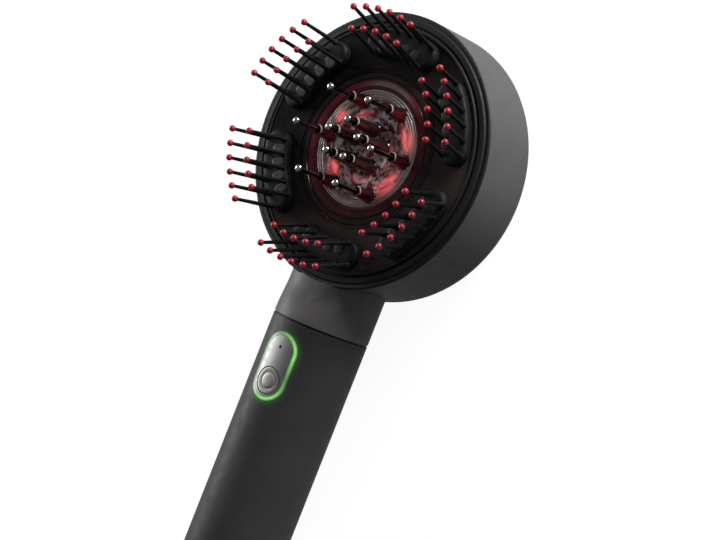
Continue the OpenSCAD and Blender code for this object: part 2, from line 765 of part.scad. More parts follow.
module end_cap() color(c_gloss) difference() {
    union() {
        translate([0, -handle_end, handle_z]) rotate([-90, 0, 0]) rotate_extrude() union() {
            square([handle_r - cap_edge_r, cap_w]);
            translate([0, cap_edge_r]) square([handle_r, cap_w - cap_edge_r]);
            translate([handle_r - cap_edge_r, cap_edge_r]) intersection() {
                circle(r = cap_edge_r);
                translate([0, -cap_edge_r]) square([cap_edge_r, cap_edge_r + 0.5]);
            }
        }
        along_handle(tube_in_r - seat_gap, cap_y - cap_spigot, cap_y + 0.5);
    }
    along_handle(cap_groove_r - 1.2, cap_y - cap_spigot - 1, cap_y - 1);
    // groove of the seal
    difference() {
        along_handle(handle_r, cap_seal_y - cap_groove_w / 2, cap_seal_y + cap_groove_w / 2);
        along_handle(cap_groove_r, cap_seal_y - cap_groove_w, cap_seal_y + cap_groove_w);
    }
    // opening of the charging socket
    translate([0, -handle_end - 1, port_z]) rotate([-90, 0, 0])
        linear_extrude(height = cap_w + 6) port_shape(0.15);
}

module port_shape(extra) {
    w = port_w / 2 - port_h / 2;
    for (s = [-1, 1]) translate([s * w, 0]) circle(r = port_h / 2 + extra, $fn = 48);
    square([2 * w, port_h + 2 * extra], center = true);
}

module cap_seal() color(c_pad) translate([0, -cap_seal_y, handle_z]) rotate([90, 0, 0])
    rotate_extrude() translate([cap_seal_mid_r, 0]) circle(r = cap_seal_r, $fn = 32);

module charge_board() color(c_board)
    translate([-charge_board_w / 2, -charge_board_y, charge_board_top - charge_board_t])
        cube([charge_board_w, charge_board_y - tray_wall_end - seat_gap, charge_board_t]);

module charge_socket() color(c_steel) {
    translate([0, -handle_end + port_sunk, port_z]) rotate([-90, 0, 0]) difference() {
        linear_extrude(height = port_l) port_shape(0);
        translate([0, 0, -1]) linear_extrude(height = port_l) port_shape(-port_wall);
    }
    // tongue inside the socket
    translate([-3.3, -handle_end + 1.4, port_z - 0.35]) cube([6.6, port_l - 1, 0.7]);
    // feet on the board
    for (s = [-1, 1]) translate([s * 3 - 0.6, -handle_end + 5.2, charge_board_top])
        cube([1.2, 2.2, 0.5]);
}

head_shell();
neck_shroud();
bezel_ring();
face_plate();
pad(1);  // pad_1
pad(2);  // pad_2
pad(3);  // pad_3
pad(4);  // pad_4
pad(5);  // pad_5
pad(6);  // pad_6
tips(1);  // tips_1
tips(2);  // tips_2
tips(3);  // tips_3
tips(4);  // tips_4
tips(5);  // tips_5
tips(6);  // tips_6
carrier_ring();
clear_disc();
outer_pin(1);  // pin_1
outer_pin(2);  // pin_2
outer_pin(3);  // pin_3
outer_pin(4);  // pin_4
outer_pin(5);  // pin_5
outer_pin(6);  // pin_6
inner_pin(1);  // pin_7
inner_pin(2);  // pin_8
inner_pin(3);  // pin_9
inner_pin(4);  // pin_10
inner_pin(5);  // pin_11
liquid_tank();
tank_seal();
filler_plug();
tank_cradle();
light_board();
light_chips();
back_screws();
motor_sleeve();
motor_body();
motor_shaft();
motor_weight();
seam_ring();
handle_tube();
cell_tray();
cell_strap();
cell();
cell_contacts();
control_board();
tact_switch();
control_panel();
light_ring();
power_button();
indicator_lens();
ribbon_cable();
end_cap();
cap_seal();
charge_board();
charge_socket();
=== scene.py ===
"""Electric scalp massager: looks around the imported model, in metres.

+Z runs out of the head's face, +Y away from the handle. The massager lies on its back.
"""
import math

import bmesh
import bpy
from mathutils import Euler, Matrix, Vector


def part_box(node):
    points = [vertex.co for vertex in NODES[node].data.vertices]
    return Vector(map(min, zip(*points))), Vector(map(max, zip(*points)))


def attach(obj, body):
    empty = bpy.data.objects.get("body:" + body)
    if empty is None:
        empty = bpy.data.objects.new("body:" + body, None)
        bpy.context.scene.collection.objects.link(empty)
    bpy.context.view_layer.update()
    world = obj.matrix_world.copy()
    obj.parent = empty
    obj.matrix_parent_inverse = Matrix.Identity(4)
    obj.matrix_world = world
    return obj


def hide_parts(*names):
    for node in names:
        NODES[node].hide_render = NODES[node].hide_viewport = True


MM = 0.001
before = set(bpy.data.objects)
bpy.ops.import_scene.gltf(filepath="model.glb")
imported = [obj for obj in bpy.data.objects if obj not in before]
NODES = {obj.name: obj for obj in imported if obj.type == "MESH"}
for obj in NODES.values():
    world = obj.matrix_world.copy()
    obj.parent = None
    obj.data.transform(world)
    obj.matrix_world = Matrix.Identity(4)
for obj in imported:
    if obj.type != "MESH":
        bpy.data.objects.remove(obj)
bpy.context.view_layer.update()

# ---------------------------------------------------------------- sizes, in millimetres
def low_corner(node):
    """The smallest x, y and z of a CAD node."""
    return [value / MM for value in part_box(node)[0]]


def high_corner(node):
    """The largest x, y and z of a CAD node."""
    return [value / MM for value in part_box(node)[1]]


HEAD_R, _, HEAD_DEPTH = high_corner("head_shell")
BACK_EDGE_R = 6.0
PLATE_R, _, PLATE_TOP = high_corner("face_plate")
HANDLE_R, _, HANDLE_TOP = high_corner("handle_tube")
HANDLE_Z = HANDLE_TOP - HANDLE_R
SEAM_Y = -high_corner("seam_ring")[1]

# The neck goes over from a flatter top beside the drum to the handle's round, and ends in a small step.
NECK_START_Y = HEAD_R + 0.5
NECK_TOP_Z = HEAD_DEPTH + 0.5
NECK_SQUARENESS = 0.4
NECK_SUNK = 0.7
NECK_END_SCALE = 0.985
NECK_END_BEVEL = 0.15

PAD_COUNT = 6
PAD_R = PLATE_R - 4.9
PAD_HALF_W = 4.4
PAD_HALF_ANGLE = 15.6
PAD_H = 2.8
# Inset from the pad's outline, and height above the plate.
PAD_PROFILE = ((0, -1.0), (0, -0.02), (0, PAD_H - 1.3), (0.12, PAD_H - 0.85), (0.42, PAD_H - 0.45),
               (0.85, PAD_H - 0.18), (1.35, PAD_H - 0.04), (1.9, PAD_H), (2.6, PAD_H), (3.6, PAD_H),
               (4.35, PAD_H))

BRISTLE_POINTS = 20
BRISTLE_L = 13.8
BRISTLE_TILT = 13.5
BRISTLE_ROOT_R = 0.68
BRISTLE_END_R = 0.52
# Height along the bristle, and radius.
BRISTLE_PROFILE = ((-0.5, 1.0), (0.05, 0.92), (0.3, 0.80), (0.8, BRISTLE_ROOT_R), (BRISTLE_L * 0.5, 0.60),
                   (BRISTLE_L - 0.8, BRISTLE_END_R), (BRISTLE_L, BRISTLE_END_R))
# Bristles in a row, the radius that their tips stand on, and degrees from one to the next.
OUTER_ROW, INNER_ROW = (6, 39.12, 6.65), (5, 32.42, 8.0)

BLOCK_R = 30.9
BLOCK_HALF_W = 2.1
BLOCK_HALF_L = 1.5
BLOCK_ROUNDNESS = 0.6
BLOCK_POINTS = 24
# Inset from the block's outline, and height above the pad.
BLOCK_PROFILE = ((0, -0.2), (0, 0.04), (0.15, 0.12), (0.4, 0.15), (0.9, 0.16))

CARRIER_R = high_corner("carrier_ring")[0]
DISC_POINTS = 128
DISC_R = CARRIER_R - 4.4
DISC_LOW = low_corner("clear_disc")[2]
DISC_TOP = PLATE_TOP + 0.05
DISC_EDGE = 0.12
DISC_RINGS = 4
DISC_RING_PITCH = 0.82
DISC_RING_DEPTH = 0.35

# Barrels in a ring, the ring's radius, the first one's angle, and the height of their mouths.
OUTER_BARRELS = (6, DISC_R - 4.35, 0, HEAD_DEPTH + 7.4)
INNER_BARRELS = (5, 5.95, 90, HEAD_DEPTH + 10.8)
BARREL_POINTS = 48
# The part of a barrel's lip that gets a painted highlight, as steps round it and rows of its profile.
LIT_STEPS = range(-3, 14)
LIT_ROWS = slice(4, 7)

# The control panel reaches from the button's middle to PANEL_Y, with a round end about each.
PANEL_HALF_W = high_corner("control_panel")[0]
BUTTON_Y = -(low_corner("power_button")[1] + high_corner("power_button")[1]) / 2
PANEL_Y = BUTTON_Y - 9.4
RING_HALF_W = high_corner("light_ring")[0]
# Where the light ring shines most, as x and the distance down the handle: far on the right, and near.
BRIGHT_SPOTS = ((4.6, PANEL_Y - 1.3), (1.5, BUTTON_Y + 5.3))
BUTTON_POINTS = 96
# Radius, and rise over the handle's round.
BUTTON_PROFILE = ((0.05, 0.12), (1.0, 0.12), (1.7, 0.10), (2.1, 0.04), (2.3, -0.12), (2.42, -0.30),
                  (2.62, -0.30), (2.78, -0.16), (3.1, -0.10), (3.5, -0.04), (3.8, 0.0), (4.0, -0.06),
                  (4.15, -0.2), (4.22, -0.45), (4.22, -2.2))


# ---------------------------------------------------------------- mesh helpers
def add_mesh(name, bm, smooth_angle=40):
    """Links a bmesh made in millimetres as a smooth-shaded object in metres."""
    bmesh.ops.recalc_face_normals(bm, faces=bm.faces)
    bmesh.ops.scale(bm, vec=(MM, MM, MM), verts=bm.verts)
    mesh = bpy.data.meshes.new(name)
    bm.to_mesh(mesh)
    bm.free()
    for polygon in mesh.polygons:
        polygon.use_smooth = True
    mesh.set_sharp_from_angle(angle=math.radians(smooth_angle))
    obj = bpy.data.objects.new(name, mesh)
    bpy.context.scene.collection.objects.link(obj)
    return obj


def loft(bm, rows, cap_start=True):
    """Joins closed rows of points, all of one length, with quads, and caps the ends."""
    rings = [[bm.verts.new(p) for p in row] for row in rows]
    count = len(rings[0])
    for low, high in zip(rings, rings[1:]):
        for i in range(count):
            j = (i + 1) % count
            bm.faces.new((low[i], low[j], high[j], high[i]))
    if cap_start:
        bm.faces.new(reversed(rings[0]))
    bm.faces.new(rings[-1])
    return rings


def circle(radius, count, centre=(0, 0, 0), turn=None):
    """Points of a level circle about centre, or of one turned by a rotation."""
    points = []
    for i in range(count):
        a = 2 * math.pi * i / count
        p = Vector((radius * math.cos(a), radius * math.sin(a), 0))
        points.append((turn @ p if turn else p) + Vector(centre))
    return points


def arc(radius, start, sweep, steps, centre=(0, 0)):
    """Points (x, y) of an arc with both its ends."""
    angles = [start + sweep * i / steps for i in range(steps + 1)]
    return [(centre[0] + radius * math.cos(a), centre[1] + radius * math.sin(a)) for a in angles]


def lathe(bm, profile, count, centre=(0, 0)):
    """Turns a profile of (radius, height) points about an upright line."""
    return loft(bm, [circle(max(r, 0.01), count, (*centre, z)) for r, z in profile])


# ---------------------------------------------------------------- material helpers
class Surface:
    """A Principled material with short calls for its procedural nodes."""

    def __init__(self, name, colour, roughness, **inputs):
        self.material = bpy.data.materials.new(name)
        self.material.use_nodes = True
        self.tree = self.material.node_tree
        self.shader = self.tree.nodes["Principled BSDF"]
        coordinates = self.tree.nodes.new("ShaderNodeTexCoord")
        self.place, self.normal = coordinates.outputs["Object"], coordinates.outputs["Normal"]
        self.colour = colour
        self.set("Base Color", (*colour, 1))
        self.set("Roughness", roughness)
        for key, value in inputs.items():
            self.set(key.replace("_", " "), value)
        self.height = None

    def set(self, socket, value):
        self.shader.inputs[socket].default_value = value

    def node(self, kind, **settings):
        node = self.tree.nodes.new(kind)
        for key, value in settings.items():
            setattr(node, key, value)
        return node

    def link(self, a, b):
        self.tree.links.new(a, b)

    def noise(self, size_mm, detail=2.0, stretch=(1, 1, 1), seed=0.0):
        """Noise whose features measure about size_mm."""
        mapping = self.node("ShaderNodeMapping")
        mapping.inputs["Scale"].default_value = stretch
        mapping.inputs["Location"].default_value = (seed, seed, seed)
        self.link(self.place, mapping.inputs["Vector"])
        noise = self.node("ShaderNodeTexNoise")
        noise.inputs["Scale"].default_value = 1 / (size_mm * MM)
        noise.inputs["Detail"].default_value = detail
        self.link(mapping.outputs["Vector"], noise.inputs["Vector"])
        return noise.outputs["Fac"]

    def spread(self, value, low, high, start=0.3, end=0.7):
        """Maps value from start..end to low..high."""
        node = self.node("ShaderNodeMapRange")
        node.inputs["From Min"].default_value = start
        node.inputs["From Max"].default_value = end
        node.inputs["To Min"].default_value = low
        node.inputs["To Max"].default_value = high
        self.link(value, node.inputs["Value"])
        return node.outputs["Result"]

    def math(self, operation, a, b=None):
        node = self.node("ShaderNodeMath", operation=operation)
        for socket, value in zip(node.inputs, (a, b)):
            if value is None:
                continue
            if isinstance(value, (int, float)):
                socket.default_value = value
            else:
                self.link(value, socket)
        return node.outputs[0]

    def blend(self, value, dark, light):
        """Blends two colours, each a tuple or a socket, by value."""
        node = self.node("ShaderNodeMix", data_type="RGBA")
        for key, colour in (("A", dark), ("B", light)):
            if isinstance(colour, tuple):
                node.inputs[key].default_value = (*colour, 1)
            else:
                self.link(colour, node.inputs[key])
        self.link(value, node.inputs["Factor"])
        return node.outputs["Result"]

    def tint(self, value, dark, light):
        """Blends two colours by value and sets the base colour."""
        self.link(self.blend(value, dark, light), self.shader.inputs["Base Color"])

    def axes(self):
        """The place in the frame along X, Y and Z, in metres."""
        separate = self.node("ShaderNodeSeparateXYZ")
        self.link(self.place, separate.inputs[0])
        return separate.outputs["X"], separate.outputs["Y"], separate.outputs["Z"]

    def facing(self, direction, start, end):
        """From 0 to 1 as the surface turns from start to end, measured along a direction."""
        node = self.node("ShaderNodeVectorMath", operation="DOT_PRODUCT")
        node.inputs[1].default_value = Vector(direction).normalized()
        self.link(self.normal, node.inputs[0])
        return self.spread(node.outputs["Value"], 0, 1, start, end)

    def length(self, a, b):
        """Length of the vector (a, b)."""
        squares = self.math("ADD", self.math("POWER", a, 2.0), self.math("POWER", b, 2.0))
        return self.math("SQRT", squares)

    def polar_noise(self, x, y, size_mm, stretch, detail=3.0, twist=0.8):
        """Noise drawn out along circles about the Z axis."""
        place = self.node("ShaderNodeCombineXYZ")
        self.link(self.length(x, y), place.inputs["X"])
        self.link(self.math("MULTIPLY", self.math("ARCTAN2", y, x), 10 * MM / stretch), place.inputs["Y"])
        noise = self.node("ShaderNodeTexNoise")
        noise.inputs["Scale"].default_value = 1 / (size_mm * MM)
        noise.inputs["Detail"].default_value = detail
        noise.inputs["Distortion"].default_value = twist
        self.link(place.outputs["Vector"], noise.inputs["Vector"])
        return noise.outputs["Fac"]

    def glow_spot(self, x, y, radius, angle, half_width, half_length, power):
        """A soft bent patch about the point at radius and angle, in millimetres and degrees."""
        c, k = math.cos(math.radians(angle)), math.sin(math.radians(angle))
        along = self.math("ADD", self.math("MULTIPLY", x, c), self.math("MULTIPLY", y, k))
        across = self.math("SUBTRACT", self.math("MULTIPLY", y, c), self.math("MULTIPLY", x, k))
        off = self.math("DIVIDE", self.math("SUBTRACT", self.length(x, y), radius * MM), half_width * MM)
        side = self.math("DIVIDE", across, half_length * MM)
        inside = self.spread(self.length(off, side), 1, 0, 0.35, 1.0)
        ahead = self.math("MULTIPLY", self.math("GREATER_THAN", along, 0.0), power)
        return self.math("MULTIPLY", self.math("MULTIPLY", inside, inside), ahead)

    def vary(self, size_mm, amount, seed=0.0):
        """Varies the base colour by a share, in soft patches."""
        dark = tuple(c * (1 - amount) for c in self.colour)
        light = tuple(min(1, c * (1 + amount)) for c in self.colour)
        self.tint(self.spread(self.noise(size_mm, 3, seed=seed), 0, 1), dark, light)
        return self

    def rough(self, size_mm, low, high, stretch=(1, 1, 1), seed=3.0):
        """Varies the roughness from low to high, in soft patches."""
        value = self.spread(self.noise(size_mm, 3, stretch, seed), low, high)
        self.link(value, self.shader.inputs["Roughness"])
        return self

    def bump(self, size_mm, depth_mm, detail=2.0, stretch=(1, 1, 1), seed=7.0):
        """Adds a raised grain, and may be called again for a second one."""
        node = self.node("ShaderNodeBump")
        node.inputs["Strength"].default_value = 1.0
        node.inputs["Distance"].default_value = depth_mm * MM
        self.link(self.noise(size_mm, detail, stretch, seed), node.inputs["Height"])
        if self.height:
            self.link(self.height, node.inputs["Normal"])
        self.height = node.outputs["Normal"]
        self.link(self.height, self.shader.inputs["Normal"])
        return self


def finish(surface, *names):
    """Gives a surface to objects or CAD nodes."""
    for name in names:
        obj = NODES[name] if isinstance(name, str) else name
        if obj.data.materials:
            obj.data.materials.clear()
        obj.data.materials.append(surface.material)


def ids(stem, count):
    """Names of numbered nodes, from 1 to count."""
    return [f"{stem}_{k}" for k in range(1, count + 1)]


# ---------------------------------------------------------------- materials
def shell_plastic():
    """Dark grey plastic, black on the rim's lip."""
    s = Surface("shell_plastic", (0.088, 0.088, 0.089), 0.5, Specular_IOR_Level=0.3)
    _, _, z = s.axes()
    lip = s.spread(z, 0, 1, (HEAD_DEPTH - 0.75) * MM, (HEAD_DEPTH - 0.35) * MM)
    grey = s.blend(s.spread(s.noise(9, 3), 0, 1), (0.083, 0.083, 0.084), (0.093, 0.093, 0.094))
    s.tint(lip, grey, (0.006, 0.006, 0.006))
    return s.rough(2.5, 0.46, 0.56).bump(0.25, 0.012, 3)


def neck_plastic():
    """The same grey plastic, a little lighter."""
    s = Surface("neck_plastic", (0.129, 0.121, 0.121), 0.5, Specular_IOR_Level=0.3)
    return s.vary(9, 0.06, 2.0).rough(2.5, 0.44, 0.54).bump(0.25, 0.012, 3)


def handle_plastic():
    """Soft black plastic, with the ring's light spilling over it."""
    s = Surface("handle_plastic", (0.048, 0.047, 0.0475), 0.5, Specular_IOR_Level=0.25)
    s.vary(12, 0.08, 1.0).rough(3, 0.46, 0.58).bump(0.3, 0.012, 3)
    x, y, z = s.axes()
    away = panel_distance(s, x, y)
    near = s.spread(away, 1, 0, RING_HALF_W * MM, (RING_HALF_W + 2.4) * MM)
    upper = s.math("GREATER_THAN", z, HANDLE_Z * MM)
    glow = s.math("MULTIPLY", s.math("POWER", near, 2.5), s.math("MULTIPLY", upper, ring_fullness(s, x, y)))
    s.set("Emission Color", (0.06, 0.42, 0.05, 1))
    s.link(s.math("MULTIPLY", glow, 0.16), s.shader.inputs["Emission Strength"])
    return s


def panel_distance(s, x, y):
    """Distance from the line between the control panel's two end centres."""
    along = s.math("MAXIMUM", s.math("MINIMUM", y, -PANEL_Y * MM), -BUTTON_Y * MM)
    return s.length(x, s.math("SUBTRACT", y, along))


def ring_fullness(s, x, y):
    """How full the green ring shines: most at its far right and near ends, least half-way and at the left."""
    spots = []
    for spot_x, spot_y in BRIGHT_SPOTS:
        away = s.length(s.math("SUBTRACT", x, spot_x * MM), s.math("ADD", y, spot_y * MM))
        spots.append(s.spread(away, 1, 0, 2 * MM, 9 * MM))
    return s.spread(s.math("MAXIMUM", *spots), 0.20, 1.0, 0.0, 1.0)


def bezel_plastic():
    """Matt black plastic."""
    s = Surface("bezel_plastic", (0.017, 0.017, 0.017), 0.5, Specular_IOR_Level=0.12)
    return s.vary(8, 0.15).rough(2, 0.46, 0.56).bump(0.3, 0.008)


def smoked_plastic():
    """Smoked plate, with painted light: a little redder and paler towards the near right."""
    s = Surface("smoked_plastic", (0.012, 0.008, 0.008), 0.30, Specular_IOR_Level=0.2)
    x, y, _ = s.axes()
    # painted light: the plate is paler and redder towards the near right
    pale = s.spread(s.math("SUBTRACT", x, y), 0, 1, -20 * MM, 32 * MM)
    cloud = s.spread(s.noise(9, 3), 0.75, 1.0)
    s.tint(s.math("MULTIPLY", pale, cloud), (0.008, 0.006, 0.006), (0.044, 0.031, 0.030))
    return s.rough(3, 0.18, 0.28).bump(0.5, 0.004)


def carrier_plastic():
    """Smoked ring, with the red light showing through its inner half and a pale gleam at its far side."""
    s = Surface("carrier_plastic", (0.020, 0.014, 0.014), 0.25, Specular_IOR_Level=0.25)
    x, y, _ = s.axes()
    inner = s.spread(s.length(x, y), 1, 0, (CARRIER_R - 2.6) * MM, (CARRIER_R - 2.0) * MM)
    left = s.spread(s.math("SUBTRACT", y, s.math("MULTIPLY", x, 1.4)), 0.2, 1.0, -28 * MM, 18 * MM)
    cloud = s.spread(s.polar_noise(x, y, 2.5, 6), 0.75, 1.0)
    red = s.math("MULTIPLY", s.math("MULTIPLY", inner, left), cloud)
    ring = s.blend(red, (0.022, 0.015, 0.016), (0.155, 0.012, 0.026))
    s.tint(s.glow_spot(x, y, 20.0, 88, 1.7, 14, 1.0), ring, (0.20, 0.17, 0.17))
    return s.rough(3, 0.14, 0.24).bump(0.5, 0.004)


# Red lights seen in the disc, painted as glow on it: radius, angle, half their width, half their length, and
# power.
GLOWS = ((15.3, 154, 2.7, 3.3, 1.0), (14.5, 27, 3.2, 6.4, 1.0), (14.2, -33, 3.6, 7.2, 0.85),
         (12.8, 223, 3.0, 5.0, 0.85), (10.8, 126, 2.2, 6.5, 0.30), (9.8, -80, 1.9, 6.5, 0.22),
         (9.6, -2, 1.5, 7.5, 0.34))


def disc_plastic():
    """Clear disc over the lit tank: pale grey rings at the edge and pale swirls as painted highlights, dark
    red swirls, and red lights inside as painted glow.
    """
    s = Surface("disc_plastic", (0.3, 0.28, 0.28), 0.15, Transmission_Weight=0.2, IOR=1.46)
    x, y, _ = s.axes()
    radius = s.length(x, y)
    # painted highlights: pale swirls, and grey rings at the edge
    swirl = s.spread(s.polar_noise(x, y, 2.4, 1.6, 3.0, 1.4), 0, 1, 0.44, 0.62)
    rim = s.spread(radius, 0, 1, 14.6 * MM, 16.4 * MM)
    bands = s.spread(s.polar_noise(x, y, 0.9, 14, 1.0, 0.2), 0.58, 1.1, 0.35, 0.65)
    light = s.math("MAXIMUM", swirl, s.math("MULTIPLY", rim, bands))
    edge = s.spread(radius, 1, 0, 17.9 * MM, 18.4 * MM)
    s.tint(s.math("MULTIPLY", light, edge), (0.085, 0.006, 0.011), (0.54, 0.47, 0.475))
    # painted glow of the red lights under the disc
    glow = None
    for spot in GLOWS:
        value = s.glow_spot(x, y, *spot)
        glow = s.math("ADD", glow, value) if glow else value
    streak = s.spread(s.polar_noise(x, y, 1.3, 5, 2.0, 0.6), 0.35, 1.25, 0.35, 0.65)
    s.set("Emission Color", (1.0, 0.12, 0.13, 1))
    s.link(s.math("MULTIPLY", s.math("MULTIPLY", glow, streak), 0.62), s.shader.inputs["Emission Strength"])
    return s.rough(3, 0.10, 0.22).bump(1.6, 0.22, 3).bump(0.5, 0.02)


def barrel_plastic(name, dark, light):
    """Glossy barrel with streaks of light along its side towards the handle."""
    s = Surface(name, light, 0.12)
    streak = s.spread(s.noise(0.7, 2.0, (1, 1, 0.10)), 0.1, 1, 0.45, 0.62)
    s.tint(s.math("MULTIPLY", streak, s.facing((0.3, -1, 0), -0.25, 0.75)), dark, light)
    return s.rough(1, 0.08, 0.16).bump(0.6, 0.02, 2.0, (1, 1, 0.2))


def lip_highlight_paint():
    """Painted highlight: a pale edge on the lit half of a barrel's mouth."""
    s = Surface("lip_highlight_paint", (0.42, 0.39, 0.39), 0.25)
    return s.vary(1, 0.15).rough(0.6, 0.14, 0.26).bump(0.3, 0.004)


def pad_rubber():
    """Soft black rubber of the pads and bristles."""
    s = Surface("pad_rubber", (0.007, 0.007, 0.007), 0.55, Specular_IOR_Level=0.15)
    return s.vary(3, 0.2).rough(1.5, 0.5, 0.62).bump(0.35, 0.010)


def painted_lit_block_rubber():
    """Rubber of the low blocks, with painted light: lighter than the pad rubber, as lit squares, and greyer
    towards -X.
    """
    s = Surface("painted_lit_block_rubber", (0.030, 0.030, 0.030), 0.5, Specular_IOR_Level=0.3)
    x, _, _ = s.axes()
    # painted light: the blocks are greyer towards -X, where the lit squares show
    s.tint(s.spread(x, 0, 1, -16 * MM, 6 * MM), (0.044, 0.044, 0.043), (0.010, 0.010, 0.010))
    return s.rough(1.5, 0.45, 0.55).bump(0.35, 0.010)


def tip_plastic():
    """Red ball tips."""
    s = Surface("tip_plastic", (0.33, 0.011, 0.022), 0.36)
    return s.vary(4, 0.2).rough(0.8, 0.3, 0.42).bump(0.3, 0.006)


def clear_plastic(name, tone, roughness):
    """Clear plastic with a faint ripple."""
    s = Surface(name, tone, roughness, Transmission_Weight=1.0, IOR=1.46)
    return s.rough(4, roughness * 0.7, roughness * 1.3).bump(1.5, 0.010)


def pin_steel():
    """Polished steel, with painted light: bright on its far upper side and dark towards the handle."""
    s = Surface("pin_steel", (0.62, 0.63, 0.65), 0.12, Metallic=1.0)
    cloud = s.blend(s.spread(s.noise(2, 3), 0, 1), (0.62, 0.63, 0.65), (0.74, 0.75, 0.77))
    # painted light: lighter on faces turned up and away from the handle, dark on the others
    s.tint(s.facing((-0.2, 0.6, 0.75), -0.15, 0.55), (0.07, 0.065, 0.07), cloud)
    return s.rough(0.6, 0.08, 0.18).bump(0.2, 0.003)


def plain_metal(name, colour, roughness):
    """Metal of one tone."""
    s = Surface(name, colour, roughness, Metallic=1.0)
    return s.vary(3, 0.1).rough(1, roughness * 0.8, roughness * 1.2).bump(0.2, 0.006)


def plain_plastic(name, colour, roughness):
    """Moulded plastic or rubber of one tone."""
    s = Surface(name, colour, roughness)
    return s.vary(5, 0.12).rough(2, roughness * 0.9, roughness * 1.1).bump(0.3, 0.010)


def circuit_board():
    """Dark green board with a hint of tracks."""
    s = Surface("circuit_board", (0.012, 0.020, 0.014), 0.35)
    tracks = s.spread(s.noise(1.2, 1, (1, 6, 1)), 0, 1, 0.45, 0.55)
    s.tint(tracks, (0.010, 0.016, 0.012), (0.018, 0.036, 0.022))
    return s.rough(2, 0.3, 0.42).bump(0.8, 0.010)


def red_light():
    """Glowing red light chips."""
    s = Surface("red_light", (0.6, 0.05, 0.05), 0.4)
    s.set("Emission Color", (1.0, 0.045, 0.05, 1))
    s.link(s.spread(s.noise(1.5), 5.0, 8.0), s.shader.inputs["Emission Strength"])
    return s


def green_light():
    """The ring's light, fuller at its two ends than along its sides."""
    s = Surface("green_light", (0.10, 0.22, 0.09), 0.35)
    x, y, _ = s.axes()
    middle = (PANEL_HALF_W + RING_HALF_W) / 2 * MM
    off = s.math("ABSOLUTE", s.math("SUBTRACT", panel_distance(s, x, y), middle))
    core = s.spread(off, 1.0, 0.0, 0.10 * MM, 0.75 * MM)
    s.link(s.blend(core, (0.05, 0.40, 0.03), (0.34, 0.80, 0.24)), s.shader.inputs["Emission Color"])
    cloud = s.spread(s.noise(2.5), 0.85, 1.0)
    level = s.math("MULTIPLY", s.spread(core, 0.35, 0.85, 0.0, 1.0), cloud)
    s.link(s.math("MULTIPLY", ring_fullness(s, x, y), level), s.shader.inputs["Emission Strength"])
    return s


def panel_plastic(name, colour, roughness):
    """Silver-grey plastic, with painted shade: darker down its right side."""
    s = Surface(name, colour, roughness, Metallic=0.55)
    x, _, _ = s.axes()
    # painted shade down the right side
    right = s.math("MULTIPLY", s.spread(x, 0, 1, -1.5 * MM, 4.4 * MM), s.spread(s.noise(3, 3), 0.8, 1.0))
    s.tint(right, tuple(c * 1.15 for c in colour), tuple(c * 0.42 for c in colour))
    return s.rough(1.5, roughness * 0.85, roughness * 1.15).bump(0.2, 0.006)


# ---------------------------------------------------------------- new pieces
def drum_radius(z):
    """Outside radius of the head at height z, with its rounded back edge."""
    if z >= BACK_EDGE_R:
        return HEAD_R
    drop = BACK_EDGE_R - max(z, 0)
    return HEAD_R - BACK_EDGE_R + math.sqrt(BACK_EDGE_R ** 2 - drop ** 2)


def ease(u):
    """Smooth step from 0 to 1."""
    u = min(max(u, 0), 1)
    return u * u * (3 - 2 * u)


def neck_point(angle, y):
    """A point of the neck's surface: a round lower half, and an upper half pressed to the rim."""
    c, s = math.cos(angle), math.sin(angle)
    near_drum = 1 - ease((y - NECK_START_Y) / (SEAM_Y - NECK_START_Y)) if s > 0 else 0
    power = 2 / (2 + NECK_SQUARENESS * near_drum)
    high = HANDLE_R - (HANDLE_R + HANDLE_Z - NECK_TOP_Z) * near_drum
    x = HANDLE_R * math.copysign(abs(c) ** power, c)
    z = HANDLE_Z + high * math.copysign(abs(s) ** power, s)
    return x, z


def make_neck(rows=28, count=192):
    """The neck from just inside the drum's wall to the seam."""
    bm = bmesh.new()
    table = []
    for i in range(rows + 1):
        share = i / rows
        row = []
        for j in range(count):
            angle = 2 * math.pi * (j + 0.5) / count
            x, z = neck_point(angle, HEAD_R - 1)
            start = math.sqrt(max(drum_radius(z) ** 2 - x * x, 1)) - NECK_SUNK
            y = start + (SEAM_Y - start) * share
            x, z = neck_point(angle, y)
            row.append((x, -y, z))
        table.append(row)
    end = table.pop()
    table.append([(x, y + NECK_END_BEVEL, z) for x, y, z in end])
    table.append([(x * NECK_END_SCALE, y, HANDLE_Z + (z - HANDLE_Z) * NECK_END_SCALE) for x, y, z in end])
    loft(bm, table, cap_start=False)
    return add_mesh("neck", bm)


def pad_outline(w, z, count=40):
    """Points round a pad of half-width w: two arcs about the head's middle and two round ends."""
    half = math.radians(PAD_HALF_ANGLE)
    first, last = math.pi / 2 - half, math.pi / 2 + half
    first_end, last_end = ((PAD_R * math.cos(a), PAD_R * math.sin(a)) for a in (first, last))
    points = arc(PAD_R + w, first, 2 * half, count - 1)
    points += arc(w, last, math.pi, count // 3, last_end)[1:-1]
    points += arc(PAD_R - w, last, -2 * half, count - 1)
    points += arc(w, first + math.pi, math.pi, count // 3, first_end)[1:-1]
    return [(x, y, z) for x, y in points]


def rounded(value):
    """A cosine or sine drawn out, so that a circle gets straighter sides."""
    return math.copysign(abs(value) ** BLOCK_ROUNDNESS, value)


def pad_block(middle):
    """Rows of a low block with a rounded top, between two bristles of the inner row."""
    rows = []
    for inset, height in BLOCK_PROFILE:
        row = []
        for i in range(BLOCK_POINTS):
            a = 2 * math.pi * (i + 0.5) / BLOCK_POINTS
            radius = BLOCK_R + rounded(math.cos(a)) * (BLOCK_HALF_W - inset)
            angle = math.radians(90 + middle) - rounded(math.sin(a)) * (BLOCK_HALF_L - inset) / BLOCK_R
            row.append((radius * math.cos(angle), radius * math.sin(angle), PLATE_TOP + PAD_H + height))
        rows.append(row)
    return rows


